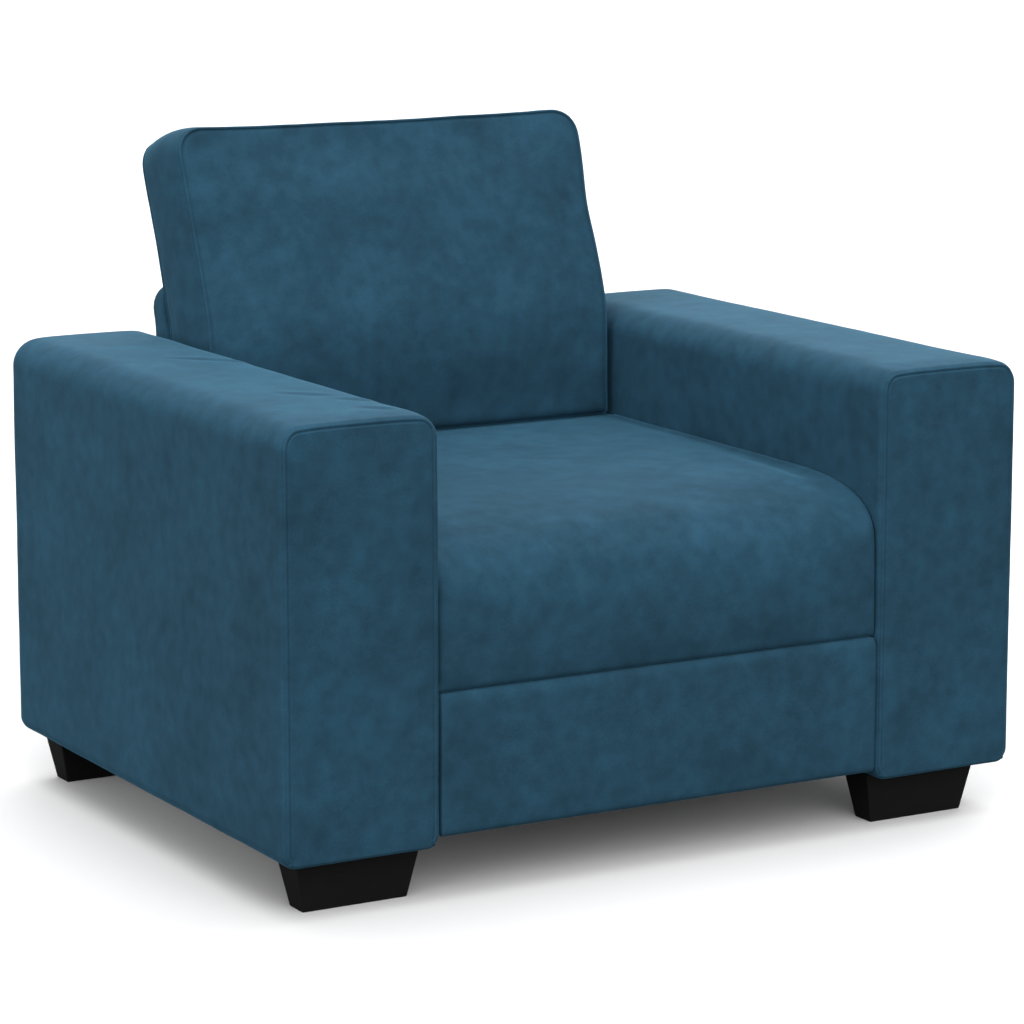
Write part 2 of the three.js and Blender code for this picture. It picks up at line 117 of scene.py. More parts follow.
def rounded(points, low, high, low_radii, high_radii, power=2.0, ends=None):
    """Warps a box so that its edges turn round. Radii are for x, y and z, at the low and the high side.

    An edge turns round where both of its radii are set. With ends, the number of an axis, only the edges
    that go round the two ends of that axis do.
    """
    low_radii, high_radii = np.array(low_radii), np.array(high_radii)
    nearest = np.clip(points, low + low_radii, high - high_radii)
    offset = points - nearest
    radii = np.maximum(np.where(offset < 0, low_radii, high_radii), TINY)
    share = np.abs(offset) / radii
    if ends is not None:
        share = np.column_stack([share[:, ends], np.delete(share, ends, 1).max(1)])
    norm = (share ** power).sum(1) ** (1 / power)
    scale = share.max(1) / np.maximum(norm, TINY)
    return nearest + offset * scale[:, None]


def make_mesh(name, points, faces):
    mesh = bpy.data.meshes.new(name)
    mesh.from_pydata([tuple(p) for p in points], [], faces)
    mesh.shade_smooth()
    piece = bpy.data.objects.new(name, mesh)
    bpy.context.scene.collection.objects.link(piece)
    return piece


def read_points(mesh):
    values = np.empty(len(mesh.vertices) * 3, np.float32)
    mesh.vertices.foreach_get("co", values)
    return values.reshape(-1, 3).astype(float)


def read_normals(mesh):
    values = np.empty(len(mesh.vertices) * 3, np.float32)
    mesh.vertices.foreach_get("normal", values)
    return values.reshape(-1, 3).astype(float)


def write_points(mesh, points):
    mesh.vertices.foreach_set("co", points.astype(np.float32).ravel())
    mesh.update()


def keep_pattern(mesh, pattern):
    """Stores where each point lies on the flat box, so that seams find their place after a simulation."""
    attribute = mesh.attributes.new("pattern", "FLOAT_VECTOR", "POINT")
    attribute.data.foreach_set("vector", pattern.astype(np.float32).ravel())


def read_pattern(mesh):
    """Gives where each point lies on the flat box, and removes the stored attribute."""
    attribute = mesh.attributes["pattern"]
    values = np.empty(len(mesh.vertices) * 3, np.float32)
    attribute.data.foreach_get("vector", values)
    mesh.attributes.remove(attribute)
    return values.reshape(-1, 3).astype(float)


def subdivide(piece):
    """Applies one level of subdivision."""
    modifier = piece.modifiers.new("Subdivision", "SUBSURF")
    modifier.levels = 1
    modifier.render_levels = 1
    evaluated = piece.evaluated_get(bpy.context.evaluated_depsgraph_get())
    finer = bpy.data.meshes.new_from_object(evaluated)
    piece.modifiers.remove(modifier)
    piece.data = finer
    finer.shade_smooth()


def inflate(piece, pressure, cap, held):
    """Swells a stuffed piece with a short cloth simulation.

    held is 1 where a point can't move, and cap is the furthest that a point may move.
    """
    rest = read_points(piece.data)
    group = piece.vertex_groups.new(name="held")
    for number, weight in enumerate(held):
        if weight > 0:
            group.add([number], float(weight), "REPLACE")
    cloth = piece.modifiers.new("Cloth", "CLOTH")
    cloth.settings.quality = 6
    cloth.settings.mass = 0.4
    cloth.settings.tension_stiffness = 25
    cloth.settings.compression_stiffness = 25
    cloth.settings.shear_stiffness = 12
    cloth.settings.bending_stiffness = 2
    cloth.settings.use_pressure = True
    cloth.settings.uniform_pressure_force = pressure
    cloth.settings.vertex_group_mass = "held"
    cloth.settings.effector_weights.gravity = 0
    cloth.collision_settings.use_collision = False
    cloth.point_cache.frame_start = 1
    cloth.point_cache.frame_end = CLOTH_STEPS
    for step in range(1, CLOTH_STEPS + 1):
        bpy.context.scene.frame_set(step)
    evaluated = piece.evaluated_get(bpy.context.evaluated_depsgraph_get())
    settled = read_points(evaluated.data)
    piece.modifiers.remove(cloth)
    piece.vertex_groups.remove(group)
    bpy.context.scene.frame_set(1)
    move = settled - rest
    length = np.maximum(np.linalg.norm(move, axis=1), TINY)
    write_points(piece.data, rest + move * (cap * np.tanh(length / cap) / length)[:, None])


def waves(points, size, seed):
    """Smooth unevenness from -1 to 1, with bumps about size across."""
    shift = Vector((seed * 7.3, seed * 3.1, seed * 5.7))
    return np.array([noise.noise(Vector(p) / size + shift) for p in points])


def bell(distance, width):
    """A smooth hump: 1 at no distance, fading to 0 over about twice the width."""
    return np.exp(-(distance / width) ** 2)


def smooth_step(value, start, end):
    """Goes smoothly from 0 at start to 1 at end."""
    share = np.clip((value - start) / (end - start), 0, 1)
    return share * share * (3 - 2 * share)


def tube(name, path, radius, sides=10):
    """A closed ring of piping along path, whose last point joins the first."""
    count = len(path)
    ahead = np.roll(path, -1, axis=0) - np.roll(path, 1, axis=0)
    ahead /= np.linalg.norm(ahead, axis=1)[:, None]
    side = np.cross(ahead, np.array([0.0, 1.0, 0.0]))
    side /= np.linalg.norm(side, axis=1)[:, None]
    up = np.cross(side, ahead)
    angles = np.arange(sides) * 2 * math.pi / sides
    rings = [path + radius * (math.cos(a) * side + math.sin(a) * up) for a in angles]
    points = np.stack(rings, axis=1).reshape(-1, 3)
    faces = []
    for ring in range(count):
        after = (ring + 1) % count
        for s in range(sides):
            beside = (s + 1) % sides
            faces.append((ring * sides + s, after * sides + s,
                          after * sides + beside, ring * sides + beside))
    return make_mesh(name, points, faces)


# ---------------------------------------------------------------- materials

def node_material(name, roughness, colour):
    """A material, its node tree and its shader, with the plain sockets set."""
    made = bpy.data.materials.new(name)
    made.use_nodes = True
    shader = made.node_tree.nodes["Principled BSDF"]
    shader.inputs["Roughness"].default_value = roughness
    shader.inputs["Base Color"].default_value = (*colour, 1)
    return made, made.node_tree, shader


def noise_node(tree, scale, detail=3.0, stretch=(1, 1, 1)):
    """A noise texture in the object's own space, drawn out along an axis where stretch is below 1."""
    place = tree.nodes.new("ShaderNodeTexCoord")
    mapping = tree.nodes.new("ShaderNodeMapping")
    mapping.inputs["Scale"].default_value = stretch
    texture = tree.nodes.new("ShaderNodeTexNoise")
    texture.inputs["Scale"].default_value = scale
    texture.inputs["Detail"].default_value = detail
    tree.links.new(place.outputs["Object"], mapping.inputs["Vector"])
    tree.links.new(mapping.outputs["Vector"], texture.inputs["Vector"])
    return texture


def ramp(tree, texture, low, high, start=0.3, end=0.7):
    """Turns a texture's value into colours from low to high."""
    node = tree.nodes.new("ShaderNodeValToRGB")
    node.color_ramp.elements[0].position = start
    node.color_ramp.elements[0].color = (*low, 1)
    node.color_ramp.elements[1].position = end
    node.color_ramp.elements[1].color = (*high, 1)
    tree.links.new(texture.outputs["Fac"], node.inputs["Fac"])
    return node.outputs["Color"]


def grey_ramp(tree, texture, low, high):
    """Turns a texture's value into greys from low to high."""
    return ramp(tree, texture, (low, low, low), (high, high, high))


def multiply(tree, first, second):
    """Multiplies two colours."""
    node = tree.nodes.new("ShaderNodeMix")
    node.data_type = "RGBA"
    node.blend_type = "MULTIPLY"
    node.inputs["Factor"].default_value = 1
    tree.links.new(first, node.inputs["A"])
    tree.links.new(second, node.inputs["B"])
    return node.outputs["Result"]


def bump(tree, texture, strength, distance, before=None):
    """A bump from a texture, on top of an earlier bump where there is one."""
    node = tree.nodes.new("ShaderNodeBump")
    node.inputs["Strength"].default_value = strength
    node.inputs["Distance"].default_value = distance
    tree.links.new(texture.outputs["Fac"], node.inputs["Height"])
    if before is not None:
        tree.links.new(before, node.inputs["Normal"])
    return node.outputs["Normal"]


def velvet_material():
    """Short-pile velvet: cloudy patches where the nap lies differently, faint streaks and a soft sheen."""
    made, tree, shader = node_material("velvet", 0.9, TEAL_LIGHT)
    clouds = noise_node(tree, scale=11, detail=7)
    patches = noise_node(tree, scale=46, detail=5)
    streaks = noise_node(tree, scale=80, detail=3, stretch=(1, 1, 0.4))
    nap = noise_node(tree, scale=900, detail=2)
    colour = ramp(tree, clouds, TEAL_DARK, TEAL_LIGHT)
    colour = multiply(tree, colour, grey_ramp(tree, patches, 0.85, 1.15))
    colour = multiply(tree, colour, grey_ramp(tree, streaks, 0.98, 1.02))
    colour = multiply(tree, colour, grey_ramp(tree, nap, 0.85, 1.15))
    tree.links.new(colour, shader.inputs["Base Color"])
    normal = bump(tree, patches, strength=0.15, distance=2 * MM)
    normal = bump(tree, nap, strength=0.25, distance=0.5 * MM, before=normal)
    tree.links.new(normal, shader.inputs["Normal"])
    shader.inputs["Sheen Weight"].default_value = 0.24
    shader.inputs["Sheen Roughness"].default_value = 0.33
    shader.inputs["Sheen Tint"].default_value = (*TEAL_SHEEN, 1)
    shader.inputs["Specular IOR Level"].default_value = 0.15
    return made


def grained_material(name, dark, light, roughness, scale, stretch=(1, 1, 1), metallic=0.0, specular=0.5):
    """A material with colour and bump from one grain: moulded plastic, board, steel or webbing."""
    made, tree, shader = node_material(name, roughness, light)
    shader.inputs["Specular IOR Level"].default_value = specular
    grain = noise_node(tree, scale, 5, stretch)
    wear = noise_node(tree, scale / 12, 3)
    colour = multiply(tree, ramp(tree, grain, dark, light), grey_ramp(tree, wear, 0.9, 1.1))
    tree.links.new(colour, shader.inputs["Base Color"])
    normal = bump(tree, grain, strength=0.4, distance=0.4 * MM)
    tree.links.new(normal, shader.inputs["Normal"])
    shader.inputs["Metallic"].default_value = metallic
    return made


# ---------------------------------------------------------------- camera, lights and floor

def direction(azimuth, elevation):
    """Unit vector from the chair outwards. Azimuth 0 is in front of it."""
    around, above = math.radians(azimuth), math.radians(elevation)
    level = math.cos(above)
    return Vector((math.sin(around) * level, -math.cos(around) * level, math.sin(above)))


def make_camera():
    outward = direction(CAMERA_AZIMUTH, CAMERA_ELEVATION)
    camera = bpy.data.objects.new("camera", bpy.data.cameras.new("camera"))
    camera.data.lens = CAMERA_LENS
    camera.location = CAMERA_TARGET + outward * CAMERA_DISTANCE
    camera.rotation_euler = (-outward).to_track_quat("-Z", "Y").to_euler()
    bpy.context.scene.collection.objects.link(camera)
    bpy.context.scene.camera = camera


def add_sun(name, energy, softness, azimuth, elevation):
    """A soft light from a direction. Softness is how wide it looks, in degrees."""
    sun = bpy.data.objects.new(name, bpy.data.lights.new(name, "SUN"))
    sun.data.energy = energy
    sun.data.angle = math.radians(softness)
    sun.rotation_euler = (-direction(azimuth, elevation)).to_track_quat("-Z", "Y").to_euler()
    bpy.context.scene.collection.objects.link(sun)


def make_light():
    """Soft lights from above and three sides, and a surround that looks white."""
    add_sun("top_light", energy=1.8, softness=60, azimuth=0, elevation=90)
    add_sun("front_light", energy=2.15, softness=60, azimuth=-10, elevation=32)
    add_sun("side_light", energy=1.75, softness=45, azimuth=-80, elevation=12)
    add_sun("rear_light", energy=1.6, softness=70, azimuth=140, elevation=28)
    world = bpy.data.worlds.new("surround")
    world.use_nodes = True
    tree = world.node_tree
    lit = tree.nodes["Background"]
    lit.inputs["Strength"].default_value = SURROUND_STRENGTH
    lit.inputs["Color"].default_value = (1, 1, 1, 1)
    seen = tree.nodes.new("ShaderNodeBackground")
    seen.inputs["Color"].default_value = (1, 1, 1, 1)
    rays = tree.nodes.new("ShaderNodeLightPath")
    choice = tree.nodes.new("ShaderNodeMixShader")
    tree.links.new(rays.outputs["Is Camera Ray"], choice.inputs["Fac"])
    tree.links.new(lit.outputs["Background"], choice.inputs[1])
    tree.links.new(seen.outputs["Background"], choice.inputs[2])
    tree.links.new(choice.outputs["Shader"], tree.nodes["World Output"].inputs["Surface"])
    bpy.context.scene.world = world
    bpy.context.scene.view_settings.view_transform = "Standard"


def make_floor():
    """A floor that looks white but throws little light back on the chair."""
    bpy.ops.mesh.primitive_plane_add(size=80)
    floor = bpy.context.object
    floor.name = "floor"
    made, tree, shader = node_material("floor", 0.9, FLOOR_SEEN)
    rays = tree.nodes.new("ShaderNodeLightPath")
    choice = tree.nodes.new("ShaderNodeMix")
    choice.data_type = "RGBA"
    choice.inputs["A"].default_value = (*FLOOR_BOUNCE, 1)
    choice.inputs["B"].default_value = (*FLOOR_SEEN, 1)
    tree.links.new(rays.outputs["Is Camera Ray"], choice.inputs["Factor"])
    tree.links.new(choice.outputs["Result"], shader.inputs["Base Color"])
    floor.data.materials.append(made)


# ---------------------------------------------------------------- soft pieces

def finish_soft(piece, body, material, fill, *nodes):
    """Gives a stuffed piece its material and body, and hides the CAD nodes that it stands for."""
    piece.data.materials.append(material)
    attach(piece, body)
    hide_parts(*nodes)


def place_between(pattern, low, high):
    """Where each point lies between low and high, from -1 to 1, as an array for each axis."""
    return (2 * (pattern - low) / (high - low) - 1).T


def uneven(points, broad, broad_size, fine, fine_size, seed):
    """Unevenness of a stuffed cover: broad waves and fine ones, each with its height and size."""
    return broad * waves(points, broad_size, seed) + fine * waves(points, fine_size, seed + 2)


# ---------------------------------------------------------------- arms

ARM_CROWN = 5 * MM
CROWN_HEIGHT = 150 * MM       # the crown grows over this much below the top
ARM_NOSE_DIP = 3.5 * MM
ARM_NOSE_LENGTH = 50 * MM
SHOULDER_WIDTH = 38 * MM
SHOULDER_DROP = 32 * MM
SHOULDER_POWER = 2.2
SHOULDER_GROWTH = 120 * MM    # how far behind the front the shoulders have their full width
FRONT_SHOULDER = 24 * MM
ARM_EDGE = 9 * MM
ARM_TOP_EDGE = 7 * MM
ARM_FOOT_EDGE = 5 * MM
ARM_REAR_EDGE = 20 * MM
ARM_LOWER_EDGE = 18 * MM
ARM_FRONT_SWELL = 2.5 * MM
ARM_REAR_SWELL = 2 * MM
ARM_SIDE_SWELL = 2.5 * MM
PANEL_INSET = 9 * MM
PANEL_TOP_INSET = 4.5 * MM
CREASE_DEPTH = 1.2 * MM

# Grooves and ridges round the front panel: distance outside its seam, width, height at its sides and its top
PANEL_LINES = (
    (0, 1.1 * MM, -1.1 * MM, -2.4 * MM),
    (6.5 * MM, 1.1 * MM, -0.8 * MM, 0),
    (4 * MM, 2.6 * MM, 0, 1.2 * MM),
    (3.2 * MM, 2 * MM, 0.5 * MM, 0),
)

# Creases of an arm's top: how far their middle is from the arm's left side and its front, and their length
CREASES = (
    (140 * MM, 468 * MM, 130 * MM),
    (118 * MM, 178 * MM, 80 * MM),
    (155 * MM, 118 * MM, 60 * MM),
    (147 * MM, 52 * MM, 50 * MM),
)


def panel_distance(pattern, low, high):
    """Distance outside the seam of an arm's front panel, and a share: 1 along its top, 0 along its sides."""
    centre = (low[0] + high[0]) / 2
    sideways = np.abs(pattern[:, 0] - centre) - (high[0] - centre - FRONT_SHOULDER)
    upward = pattern[:, 2] - (high[2] - FRONT_SHOULDER)
    whole = np.maximum(sideways, 0) + np.maximum(upward, 0)
    at_top = smooth_step(np.maximum(upward, 0) / np.maximum(whole, CLOSE), 0.1, 0.9)
    inset = PANEL_INSET + (PANEL_TOP_INSET - PANEL_INSET) * at_top
    return np.maximum(sideways, upward) - FRONT_SHOULDER + inset, at_top


def panel_seam(pattern, low, high):
    """Height of the grooves and ridges round an arm's front panel."""
    distance, at_top = panel_distance(pattern, low, high)
    height = np.zeros(len(pattern))
    for place, width, side_height, top_height in PANEL_LINES:
        height += (side_height + (top_height - side_height) * at_top) * bell(distance - place, width)
    return height


def arm_creases(pattern, low):
    """Shallow creases across an arm's top, each from its outer rear to its inner front."""
    depth = np.zeros(len(pattern))
    for x, y, length in CREASES:
        x_gap = pattern[:, 0] - low[0] - x
        y_gap = pattern[:, 1] - low[1] - y
        along = (x_gap - y_gap) * math.sqrt(0.5)
        across = (x_gap + y_gap) * math.sqrt(0.5)
        reach = np.clip(1 - (2 * along / length) ** 2, 0, 1)
        depth += reach * (bell(across, 5 * MM) - bell(across - 11 * MM, 6 * MM))
    return depth


def arm_shape(pattern, low, high):
    """Rounds the arm's block: its front, rear and lower edges, then soft shoulders along its top."""
    block = rounded(pattern, low, high, (ARM_EDGE, ARM_EDGE, ARM_FOOT_EDGE),
                    (ARM_EDGE, ARM_REAR_EDGE, ARM_TOP_EDGE), ends=Y_AXIS)
    block = rounded(block, low, high, (ARM_LOWER_EDGE, 0, ARM_LOWER_EDGE), (ARM_LOWER_EDGE, 0, 0))
    wide = rounded(block, low, high, (SHOULDER_WIDTH, 0, 0), (SHOULDER_WIDTH, 0, SHOULDER_DROP),
                   SHOULDER_POWER)
    tight = rounded(block, low, high, (FRONT_SHOULDER, 0, 0), (FRONT_SHOULDER, 0, FRONT_SHOULDER))
    share = smooth_step(pattern[:, 1] - low[1], 0, SHOULDER_GROWTH)[:, None]
    points = tight + (wide - tight) * share
    across = place_between(points, low, high)[0]
    lift = smooth_step(points[:, 2], high[2] - CROWN_HEIGHT, high[2])
    from_front = np.clip((pattern[:, 1] - low[1]) / ARM_NOSE_LENGTH, 0, 1)
    points[:, 2] += lift * (ARM_CROWN * (1 - across ** 4) - ARM_NOSE_DIP * (1 - from_front) ** 2)
    return points


def make_arm(side, velvet):
    low, high = (np.array(corner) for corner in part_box(f"arm_{side}_cover"))
    inward = 1 if side == "left" else -1
    pattern, faces = box_surface(
        graded(low[0], high[0], 5 * MM, 0.9 * MM, band=13 * MM, growth=1.2),
        graded(low[1], high[1], 5 * MM, 1.2 * MM, band=12 * MM, growth=1.2),
        graded(low[2], high[2], 9 * MM, 0.9 * MM, band=13 * MM, growth=1.2),
    )
    points = arm_shape(pattern, low, high)
    piece = make_mesh(f"arm_{side}_upholstery", points, faces)

    across, along, upward = place_between(pattern, low, high)
    front = pattern[:, 1] <= low[1] + CLOSE
    upper = pattern[:, 2] >= high[2] - CLOSE
    rear = pattern[:, 1] >= high[1] - CLOSE
    outer = across * inward <= -1 + CLOSE
    normals = read_normals(piece.data)
    push = front * ARM_FRONT_SWELL * (1 - across ** 4) * (1 - np.abs(upward) ** 6)
    push += rear * ARM_REAR_SWELL * (1 - across ** 4) * (1 - upward ** 4)
    push += outer * ARM_SIDE_SWELL * (1 - along ** 4) * (1 - upward ** 4)
    push += front * panel_seam(pattern, low, high)
    if side == "left":
        push -= upper * CREASE_DEPTH * arm_creases(pattern, low)
    push += uneven(points, 0.7 * MM, 0.11, 0.25 * MM, 0.035, inward + 2)
    write_points(piece.data, points + normals * push[:, None])
    finish_soft(piece, "chair", velvet, 0.9,
                f"arm_{side}_cover", f"arm_{side}_front_panel", f"arm_{side}_foam")


# ---------------------------------------------------------------- seat

SEAT_ROLL_DEPTH = 189 * MM
SEAT_ROLL_HEIGHT = 80 * MM
SEAT_ROLL_POWER = 2.8
SEAT_SEAM_EDGE = (7 * MM, 18 * MM)     # front edge at the seam, in y and z
SEAT_LOW_EDGE = (7 * MM, 7 * MM)       # side edges near the seam, in x and y
SEAT_HIGH_EDGE = (10 * MM, 12 * MM)    # side edges higher up, in x and y
SEAT_TOP_EDGE = 5 * MM
SEAT_HELD = 30 * MM                    # the cover is held within this of its sides and its seam
SEAT_HELD_REAR = 85 * MM               # the top is held within this of its rear, under the cushion
SEAT_FREE_REAR = 150 * MM              # and free beyond this
SEAT_WELT = 4 * MM
SEAT_DIP = 3 * MM
RESTING_GAP = 0.6 * MM


def seat_shape(pattern, low, high):
    """Rounds the seat's block: its side edges, the edge at its seam, then the roll along its front."""
    tight = rounded(pattern, low, high, (*SEAT_LOW_EDGE, 0), (*SEAT_LOW_EDGE, SEAT_TOP_EDGE), ends=X_AXIS)
    soft = rounded(pattern, low, high, (*SEAT_HIGH_EDGE, 0), (*SEAT_HIGH_EDGE, SEAT_TOP_EDGE), ends=X_AXIS)
    share = smooth_step(pattern[:, 2] - low[2], 20 * MM, 150 * MM)[:, None]
    points = tight + (soft - tight) * share
    points = rounded(points, low, high, (0, *SEAT_SEAM_EDGE), (0, 0, 0))
    return rounded(points, low, high, (0, SEAT_ROLL_DEPTH, 0), (0, 0, SEAT_ROLL_HEIGHT), SEAT_ROLL_POWER)


def seat_side_lines(pattern, points, high):
    """Height of the cover along the arms: a raised edge, and a dip inside it that fades to the rear."""
    side_gap = high[0] - np.abs(pattern[:, 0])
    along_top = smooth_step(points[:, 2], high[2] - 80 * MM, high[2] - 15 * MM)
    forward = 1 - smooth_step(points[:, 1], -250 * MM, 0)
    welt = SEAT_WELT * bell(side_gap - 3 * MM, 7 * MM)
    dip = SEAT_DIP * forward * bell(side_gap - 27 * MM, 15 * MM)
    return along_top * (welt - dip)


def make_seat(velvet):
    low, high = (np.array(corner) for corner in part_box("seat_cover"))
    pattern, faces = box_surface(
        graded(low[0], high[0], 13 * MM, 4 * MM),
        graded(low[1], high[1], 13 * MM, 4 * MM),
        graded(low[2], high[2], 13 * MM, 4 * MM),
    )
    piece = make_mesh("seat_upholstery", seat_shape(pattern, low, high), faces)
    keep_pattern(piece.data, pattern)
    upper = pattern[:, 2] >= high[2] - CLOSE
    front = pattern[:, 1] <= low[1] + CLOSE
    free = np.where(upper | front, 1.0, 0.0)
    free *= smooth_step(high[0] - np.abs(pattern[:, 0]), 0, SEAT_HELD)
    free *= smooth_step(pattern[:, 2], low[2], low[2] + SEAT_HELD)
    free *= np.where(upper, smooth_step(high[1] - pattern[:, 1], SEAT_HELD_REAR, SEAT_FREE_REAR), 1)
    inflate(piece, pressure=3, cap=4 * MM, held=1 - free)
    subdivide(piece)
    pattern = read_pattern(piece.data)
    points = read_points(piece.data)
    normals = read_normals(piece.data)
    push = uneven(points, 0.6 * MM, 0.09, 0.25 * MM, 0.03, 3)
    push += seat_side_lines(pattern, points, high)
    points += normals * push[:, None]
    points[:, 0] = np.clip(points[:, 0], low[0], high[0])
    # The top is pressed flat under the cushion's foot
    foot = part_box("cushion_cover")[0]
    under = smooth_step(points[:, 1], foot.y - 14 * MM, foot.y + 2 * MM)
    pressed = np.minimum(points[:, 2], foot.z - RESTING_GAP)
    points[:, 2] += under * (pressed - points[:, 2])
    write_points(piece.data, points)
    finish_soft(piece, "chair", velvet, 0.9, "seat_cover", "seat_foam")


# ---------------------------------------------------------------- front border

BORDER_LOW_EDGE = (3 * MM, 6 * MM, 7 * MM)
BORDER_HIGH_EDGE = (3 * MM, 5 * MM, 14 * MM)
BORDER_SWELL = 2 * MM


def make_border(velvet):
    low, high = (np.array(corner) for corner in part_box("border_cover"))
    pattern, faces = box_surface(
        graded(low[0], high[0], 12 * MM, 2 * MM),
        graded(low[1], high[1], 10 * MM, 2 * MM),
        graded(low[2], high[2], 6 * MM, 1.5 * MM),
    )
    points = rounded(pattern, low, high, BORDER_LOW_EDGE, BORDER_HIGH_EDGE)
    piece = make_mesh("border_upholstery", points, faces)
    normals = read_normals(piece.data)
    across, _, upward = place_between(pattern, low, high)
    front = pattern[:, 1] <= low[1] + CLOSE
    push = front * BORDER_SWELL * (1 - across ** 8) * (1 - upward ** 4)
    push += front * uneven(points, 0.5 * MM, 0.08, 0.2 * MM, 0.03, 9)
    write_points(piece.data, points + normals * push[:, None])
    finish_soft(piece, "chair", velvet, 0.9, "border_cover", "border_pad")


# ---------------------------------------------------------------- back

BACK_SHOULDER = 548 * MM
BACK_LEAN = math.radians(20)
BACK_LOW_EDGE = (4 * MM, 4 * MM, 6 * MM)
BACK_HIGH_EDGE = (4 * MM, 5 * MM, 22 * MM)
BACK_CORNER = 38 * MM
BACK_WAIST = 5 * MM
BACK_SWELL = 1.5 * MM
BACK_TAPER = 0.008            # share of the width that the roll is narrower than the panel below
TAPER_START = 505 * MM
TAPER_END = 550 * MM
ROLL_START = 560 * MM
ROLL_RISE = 9 * MM
ROLL_DROP = 33 * MM           # from the top down to the roll's thickest place
ROLL_HEIGHT = 20 * MM
ROLL_SWELL = 7.5 * MM


def back_profile(height, low, high):
    """Front and rear of the back at a height: a flat panel below, a soft roll that leans back above."""
    lean = np.maximum(height - BACK_SHOULDER, 0)
    front = low[1] + lean * math.tan(BACK_LEAN)
    rear = high[1] - BACK_WAIST + ROLL_SWELL * bell(height - (high[2] + ROLL_RISE - ROLL_DROP), ROLL_HEIGHT)
    return front, rear


def make_back(velvet):
    low, high = (np.array(corner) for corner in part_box("back_cover"))
    pattern, faces = box_surface(
        graded(low[0], high[0], 10 * MM, 2.5 * MM),
        graded(low[1], high[1], 6 * MM, 2 * MM),
        graded(low[2], high[2], 7 * MM, 2 * MM),
    )
    points = rounded(pattern, low, high, BACK_LOW_EDGE, BACK_HIGH_EDGE)
    points = rounded(points, low, high, (BACK_CORNER, 0, 0), (BACK_CORNER, 0, BACK_CORNER))
    points[:, 0] *= 1 - BACK_TAPER * smooth_step(points[:, 2], TAPER_START, TAPER_END)
    points[:, 2] += ROLL_RISE * smooth_step(points[:, 2], ROLL_START, high[2])
    depth = (points[:, 1] - low[1]) / (high[1] - low[1])
    front, rear = back_profile(points[:, 2], low, high)
    points[:, 1] = front + depth * (rear - front)
    piece = make_mesh("back_upholstery", points, faces)
    normals = read_normals(piece.data)
    across = place_between(pattern, low, high)[0]
    behind = pattern[:, 1] >= high[1] - CLOSE
    push = behind * BACK_SWELL * (1 - across ** 6)
    push += behind * uneven(points, 0.5 * MM, 0.09, 0.2 * MM, 0.03, 13)
    write_points(piece.data, points + normals * push[:, None])
    finish_soft(piece, "chair", velvet, 0.9, "back_cover", "back_pad")


# ---------------------------------------------------------------- back cushion

CUSHION_LEAN = math.radians(20)
CUSHION_THICKNESS = 115 * MM
CUSHION_CORNER = 35 * MM
CUSHION_INSET = 3 * MM
TOP_ROOM = 2 * MM             # left above the flat block for the swell of its top
CUSHION_KNEE = 149 * MM
KNEE_LENGTH = 70 * MM
LONGEST_FRONT = 0.6           # metres, more than the length of the cushion's front
FOOT_CORNER = 6 * MM
FOOT_ROUND = 12 * MM
CUSHION_WAIST = 2 * MM
SIDE_HOLLOW = 3.5 * MM
HOLLOW_DROP = 128 * MM        # from the top down to the hollow in the right side
HOLLOW_HEIGHT = 45 * MM
TOP_RISE = 14 * MM
TOP_SAG = 3 * MM
BOXING_PUFF = 4 * MM
SIDE_PUFF = 3.5 * MM          # added at the sides above the arms
TOP_LOSS = 1 * MM             # taken off everywhere above the arms
SEAM_DEPTH = 1.5 * MM
SEAM_PLACE = 3 * MM           # how far from the piping the cover is drawn in
SEAM_WIDTH = 1.7 * MM
PIPING_RADIUS = 1.7 * MM
TAPE_MARGIN = 6 * MM


def cushion_place(height, depth, low):
    """Bends a flat cushion: upright at its foot and leaning back above the knee. Gives y and z."""
    steps = np.linspace(0, LONGEST_FRONT, 601)
    angle = CUSHION_LEAN * smooth_step(steps, CUSHION_KNEE - KNEE_LENGTH / 2, CUSHION_KNEE + KNEE_LENGTH / 2)
    spacing = steps[1] - steps[0]
    front_y = low[1] + np.concatenate([[0], np.cumsum(np.sin(angle[:-1]))]) * spacing
    front_z = low[2] + np.concatenate([[0], np.cumsum(np.cos(angle[:-1]))]) * spacing
    turn = np.interp(height, steps, angle)
    y = np.interp(height, steps, front_y) + depth * np.cos(turn)
    z = np.interp(height, steps, front_z) - depth * np.sin(turn)
    return y, z


def cushion_height(low, high):
    """Length of the cushion's front from its foot to its top edge."""
    leaning = (high[2] - low[2] - CUSHION_KNEE) / math.cos(CUSHION_LEAN)
    return CUSHION_KNEE + leaning


